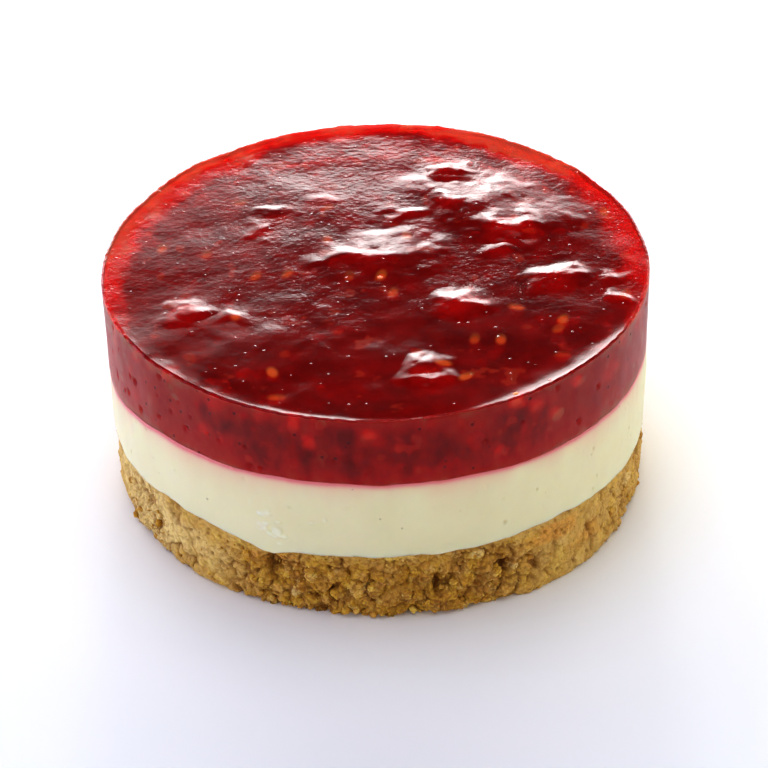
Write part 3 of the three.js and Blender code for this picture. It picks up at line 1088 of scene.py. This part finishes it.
def biscuit_wall(angle, z):
    """Radius of the dressed wall at arrays of angles and heights, with the tint at each and the hollow, how
    much painted shade it gets, more in the crevices. The crevices' outlines are pushed about by noise."""
    loose = (0.45 + 0.55 * openness(angle)) * (0.3 + 0.7 * below_joint(angle, z))
    solid = biscuit_radius(angle, z)
    place = upright(solid, angle, z)
    height, tint, hollow = crumb_texture(place, loose)
    turn, lift = 1.1 * rough(place, 2.0, 571) / RADIUS, 1.0 * rough(place, 2.0, 577)
    share, depth = crevice(angle + turn, z + lift)
    radius = solid + crevice(angle, z)[1] - depth + height
    return radius, tint, np.clip(hollow + 0.8 * share, 0, 1)


def baked_patches(angle, z):
    """How much browner, above 0, or paler, below 0, the crumbs are: side humps added up."""
    return sum(strength * side_hump(angle, z, *place) for *place, strength in BAKED_PATCHES)


def biscuit_piece(material):
    """The side is the solid's with the crumb texture on it, and the top and underside close it."""
    around = round_angles(BISCUIT_SECTORS)
    upper = on_ring(crumb_joint, around)
    side = []
    for k in range(BISCUIT_ROWS + 1):
        level = upper * (1 - k / BISCUIT_ROWS)
        radius, tint, hollow = biscuit_wall(around, level)
        smear = 1 - openness(around) * (0.3 + 0.7 * below_joint(around, level))
        baked = baked_patches(around, level)
        # Painted shade: the hollow darkens the colour in grooves, pits and crevices.
        side.append((upright(radius, around, level), tint, 0.85 * hollow, smear, baked))
    plain = (0.5, 0.0, 0.0, 0.0)
    top = level_rings((0.2, 0.5, 0.75, 0.9), RADIUS - 3, around, crumb_joint, *plain)
    underside = level_rings((0.92, 0.7, 0.4), RADIUS - 5, around, lambda x, y: 0.0, *plain)
    ends = dict.fromkeys(("tint", "hollow", "smear", "baked"), (0.0, 0.0))
    piece = painted_skin("biscuit_base_piece", [*top, *side, *underside], ends)
    dress(piece, "biscuit", material, "biscuit_base")


def crumb_piece(name, number, smallest, largest, fineness, seed, material):
    """Loose crumbs on the wall: jittered icospheres, stretched and turned by chance, more of them where the
    side is open, each sunk by about half."""
    draw = np.random.default_rng(seed)
    directions, faces = lump_mesh(fineness)
    angle = draw.uniform(-math.pi, math.pi, 12 * number)
    angle = angle[draw.uniform(size=len(angle)) < 0.05 + 0.95 * openness(angle)][:number]
    number = len(angle)
    radius = smallest + (largest - smallest) * draw.uniform(size=number) ** 2
    joint = on_ring(biscuit_top, angle)
    z = radius + draw.uniform(size=number) ** 1.6 * (joint - 2 * radius)
    wall, _, _ = biscuit_wall(angle, z)
    middle = upright(wall + radius * draw.uniform(-0.6, 0.1, number), angle, z)
    stretch = draw.uniform(0.65, 1.15, (number, 1, 3))
    dents = draw.uniform(0.78, 1.12, (number, len(directions), 1))
    lumps = directions[None] * stretch * dents * radius[:, None, None]
    lumps = turned(lumps, draw.uniform(0, 2 * math.pi, (number, 3))) + middle[:, None, :]
    lumps[..., 2] = np.maximum(lumps[..., 2], 0.02)
    joined(name, lumps, faces, draw.uniform(size=number), "biscuit", material)


# ---------- What is sunk in the jelly ----------

SEED_AROUND = 14
SEED_ALONG = 9


def seed_form():
    """A drop: a unit of length along X, its radius a sine of the way along, fuller at the blunt end,
    flattened in Z. Gives its points and faces, closed at both tips."""
    along = math.pi * np.arange(1, SEED_ALONG) / SEED_ALONG
    around = round_angles(SEED_AROUND)
    full = np.sin(along) * (1 + 0.3 * np.cos(along))
    x = np.repeat(-0.5 * np.cos(along)[:, None], SEED_AROUND, axis=1)
    y = 0.36 * full[:, None] * np.cos(around)
    z = 0.27 * full[:, None] * np.sin(around)
    points = np.concatenate([np.stack([x, y, z], axis=-1).reshape(-1, 3), [[-0.5, 0, 0], [0.5, 0, 0]]])
    ring = np.arange((SEED_ALONG - 1) * SEED_AROUND).reshape(SEED_ALONG - 1, SEED_AROUND)
    ahead = np.roll(ring, -1, axis=1)
    tail, tip = np.full(SEED_AROUND, ring.size), np.full(SEED_AROUND, ring.size + 1)
    corners = [
        (ring[:-1], ahead[:-1], ahead[1:]),
        (ring[:-1], ahead[1:], ring[1:]),
        (tail, ahead[0], ring[0]),
        (tip, ring[-1], ahead[-1]),
    ]
    return points, faces_through(corners)


def seeds_piece(material):
    """Seeds at their places below the skin and behind the side, and more by chance through the jelly."""
    draw = np.random.default_rng(83)
    form, faces = seed_form()
    middles = []
    turns = []
    for x, y, depth, turn in TOP_SEEDS:
        middles.append((x, y, top_over(x, y) - SEED_SUNK - 0.35 * depth))
        turns.append((draw.uniform(-0.3, 0.3), draw.uniform(-0.3, 0.3), math.radians(turn)))
    for degrees, z, depth, turn in SIDE_SEEDS:
        angle = math.radians(degrees)
        middles.append(upright(RADIUS - 0.25 - SEED_SUNK - 0.3 * depth, angle, z))
        turns.append((math.radians(90), math.radians(turn), angle + math.pi / 2))
    for _ in range(70):
        angle, out = draw.uniform(-math.pi, math.pi), (RADIUS - 6) * math.sqrt(draw.uniform())
        middles.append(upright(out, angle, draw.uniform(CREAM_TOP + 2, HEIGHT - 3)))
        turns.append(draw.uniform(0, 2 * math.pi, 3))
    number = len(middles)
    size = SEED_LENGTH * draw.uniform(0.85, 1.1, (number, 1, 1))
    lumps = turned(form[None] * size, np.array(turns)) + np.array(middles)[:, None, :]
    joined("raspberry_seeds", lumps, faces, draw.uniform(size=number), "jelly", material)


def fruit_piece(material):
    """Torn raspberry under each lift: an icosphere stretched to most of the lift's ellipse, knobbly with
    drupelets, which are rounded cells, and uneven by noise. Its top comes to just below the skin."""
    draw = np.random.default_rng(97)
    directions, faces = lump_mesh(5)
    lumps = []
    for cx, cy, half_length, half_width, turn, _ in BERRY_LIFTS:
        sizes = np.array([0.72 * half_length, 0.72 * half_width, 1.9])
        off, edge, _ = pebbles(directions * sizes + (cx, cy, 0), 1.9, 701)
        knobs = 0.45 * np.sqrt(np.clip(1 - off**2, 0, 1)) - 0.25 * np.exp(-((edge / 0.2) ** 2))
        uneven = 0.45 * rough(directions * sizes + (cy, cx, 9), 2.6, 711)
        body = directions * (sizes + (knobs + uneven)[:, None])
        x, y = along_and_across(body[:, 0], body[:, 1], -turn)
        x, y = cx + x, cy + y
        z = body[:, 2] - body[:, 2].max() + top_over(cx, cy) - draw.uniform(0.35, 0.6)
        lumps.append(np.stack([x, y, np.minimum(z, top_over(x, y) - 0.25)], axis=-1))
    tints = draw.uniform(0.1, 0.6, len(lumps))
    joined("raspberry_pieces", np.array(lumps), faces, tints, "jelly", material)


def pulp_piece(material):
    """Pulp: many small flattened icospheres, uneven by noise, at chance places through the upper jelly and
    close behind its side."""
    draw = np.random.default_rng(113)
    directions, faces = lump_mesh(3)
    number = 300
    angle = draw.uniform(-math.pi, math.pi, number)
    out = (RADIUS - 2.2) * np.where(draw.uniform(size=number) < 0.3, 1.0, draw.uniform(size=number) ** 0.5)
    x, y = out * np.cos(angle), out * np.sin(angle)
    deep = np.where(out > RADIUS - 2.5, draw.uniform(1.5, 9.5, number), draw.uniform(2.0, 5.5, number))
    radius = draw.uniform(0.35, 1.5, number) * draw.uniform(0.6, 1.0, number)
    middle = np.stack([x, y, np.maximum(top_over(x, y) - deep, cream_top(x, y) + 1.6)], axis=-1)[:, None, :]
    uneven = 1 + 0.35 * rough(directions * 1.2 + middle, 1.1, 721, 2)
    lumps = directions * uneven[..., None] * radius[:, None, None]
    lumps = lumps * draw.uniform(0.3, 1.3, (number, 1, 3))
    lumps = turned(lumps, draw.uniform(0, 2 * math.pi, (number, 3))) + middle
    joined("raspberry_pulp", lumps, faces, draw.uniform(0.1, 0.7, number), "jelly", material)


RIM_LIGHT_SHEET = (-28, 208)  # stretch of the rim with the sheet of painted light under it, in degrees: all but the front
RIM_LIGHT_SHEET_STEPS = 420
RIM_LIGHT_SHEET_SIDES = 20


def rim_light_sheet_piece(material):
    """A bright sheet of flesh round the rim, painted light for light shining in through the side: an oval
    section carried along it, with a ragged inner edge, its top following the jelly's skin just below it. It
    thins to a point at both ends."""
    ahead = np.linspace(0, 1, RIM_LIGHT_SHEET_STEPS)[:, None]
    angle = np.radians(RIM_LIGHT_SHEET[0] + (RIM_LIGHT_SHEET[1] - RIM_LIGHT_SHEET[0]) * ahead)
    around = round_angles(RIM_LIGHT_SHEET_SIDES)
    thin = np.minimum(1, 7 * ahead * (1 - ahead)) ** 0.7 + 0.001
    edge = upright(RADIUS, angle, 0.0)
    ragged = rough(edge, 5.0, 371, 4) + 0.4 * rough(edge, 0.8, 377, 2)
    width = (5.6 - 1.6 * np.maximum(0, np.sin(angle)) + 1.5 * ragged) * thin
    radius = jelly_rim(angle) - 0.35 - width / 2 + width / 2 * np.cos(around)
    x, y = radius * np.cos(angle), radius * np.sin(angle)
    top = top_over(x, y) - 0.42 + 0.12 * rough(flat(x, y), 1.3, 381)
    z = top - 0.8 * (1 - np.sin(around)) * thin
    piece = skin("rim_painted_light_sheet", np.stack([x, y, z], axis=-1)[:, ::-1])
    paint(piece, "tint", np.full(len(piece.data.vertices), 0.6))
    dress(piece, "jelly", material)


# ---------- Floor, light and camera ----------

PICTURE_SIDE = 768  # pixels
FOCAL = 2569 / PICTURE_SIDE  # focal length, in picture widths
SENSOR = 36.0  # millimetres across
CAMERA_RISE = math.radians(35.39)
CAMERA_ROLL = math.radians(-1.5)
CAMERA_FAR = 387.5  # from what it looks at, in millimetres
CAMERA_AIM = np.array([0.776, 0.0, 12.46])


def floor_piece():
    """A wide pale floor with the faintest unevenness of tone."""
    corners = 3000.0 * np.array([(-1, -1, 0), (1, -1, 0), (1, 1, 0), (-1, 1, 0)])
    floor = mesh_object("floor", corners, np.array([(0, 1, 2, 3)]), np.zeros((0, 3), int))
    material, graph = new_material("pale_floor")
    tone = graph.noise(graph.object_place(), 400.0)
    colour = graph.ramp(tone, (0.3, (0.93, 0.93, 0.93)), (0.7, (0.95, 0.95, 0.95)))
    graph.surface({"Base Color": colour, "Roughness": 0.7})
    floor.data.materials.append(material)


def studio_light():
    """A soft bright band low all round, brightest behind, where it ends in a small brighter box and a haze at
    the left, dim at the sides and dimmer in front, and a dim ceiling."""
    world = bpy.data.worlds.new("studio")
    bpy.context.scene.world = world
    world.use_nodes = True
    world.node_tree.nodes.clear()
    graph = Graph(world.node_tree)
    towards = graph.node("ShaderNodeTexCoord").outputs["Generated"]
    x, y, z = graph.node("ShaderNodeSeparateXYZ", {"Vector": towards}).outputs
    level = graph.math("SQRT", graph.plus(graph.times(x, x), graph.times(y, y)))
    side, back = graph.math("DIVIDE", x, level), graph.math("DIVIDE", y, level)
    behind = graph.step(back, 0.66, 0.97)
    left = graph.step(side, -0.2, -0.95, 0.0, 0.31)
    right = graph.step(side, -0.1, 0.9, 0.0, 0.27)
    around = graph.math("MAXIMUM", graph.math("MAXIMUM", behind, left), graph.math("MAXIMUM", right, 0.085))
    low = graph.times(graph.step(z, 0.50, 0.34, 0.0, 8.2), graph.step(z, 0.12, 0.28))
    middle = graph.step(z, 0.546, 0.496, 0.0, 1.9)
    box = graph.times(graph.step(z, 0.511, 0.494, 0.0, 7.5), graph.step(back, 0.9966, 0.9998))
    haze = graph.times(graph.step(z, 0.578, 0.552, 0.0, 1.1), graph.step(side, -0.035, -0.075))
    band = graph.plus(graph.plus(low, middle), graph.plus(box, haze))
    strength = graph.plus(graph.times(band, around), graph.step(z, 0.8, 0.9, 0.02, 1.55))
    colour = graph.mix(graph.step(side, -0.2, -0.8), (0.985, 1.0, 0.99, 1.0), (0.95, 1.0, 1.32, 1.0))
    light = graph.node("ShaderNodeBackground", {"Color": colour, "Strength": strength})
    graph.node("ShaderNodeOutputWorld", {"Surface": light.outputs[0]})


def camera():
    """Looks back along its rise above the floor, turned by its roll about the line of sight."""
    rise, roll = CAMERA_RISE, CAMERA_ROLL
    backwards = Vector((0, -math.cos(rise), math.sin(rise)))
    across = Vector((1, 0, 0))
    above = backwards.cross(across)
    right = math.cos(roll) * across + math.sin(roll) * above
    up = math.cos(roll) * above - math.sin(roll) * across
    made = bpy.data.objects.new("camera", bpy.data.cameras.new("camera"))
    made.data.sensor_width = SENSOR
    made.data.lens = FOCAL * SENSOR
    place = (Vector(CAMERA_AIM) + CAMERA_FAR * backwards) * MM
    made.matrix_world = Matrix.Translation(place) @ Matrix((right, up, backwards)).transposed().to_4x4()
    bpy.context.scene.collection.objects.link(made)
    bpy.context.scene.camera = made


# ---------- The scene ----------

camera()
studio_light()
floor_piece()
bpy.context.scene.view_settings.view_transform = "Standard"
bpy.context.scene.view_settings.gamma = 0.8

jelly_piece(jelly_material())
cream_piece(cream_material())
crumb_grain = crumb_grain_group()
loose_crumb = loose_crumb_material(crumb_grain)
biscuit_piece(biscuit_material(crumb_grain))
crumb_piece("coarse_crumbs", 260, 0.35, 1.0, 2, 601, loose_crumb)
crumb_piece("fine_crumbs", 2200, 0.12, 0.34, 1, 607, loose_crumb)
seeds_piece(seed_material())
flesh = fruit_material()
fruit_piece(flesh)
pulp_piece(flesh)
rim_light_sheet_piece(flesh)
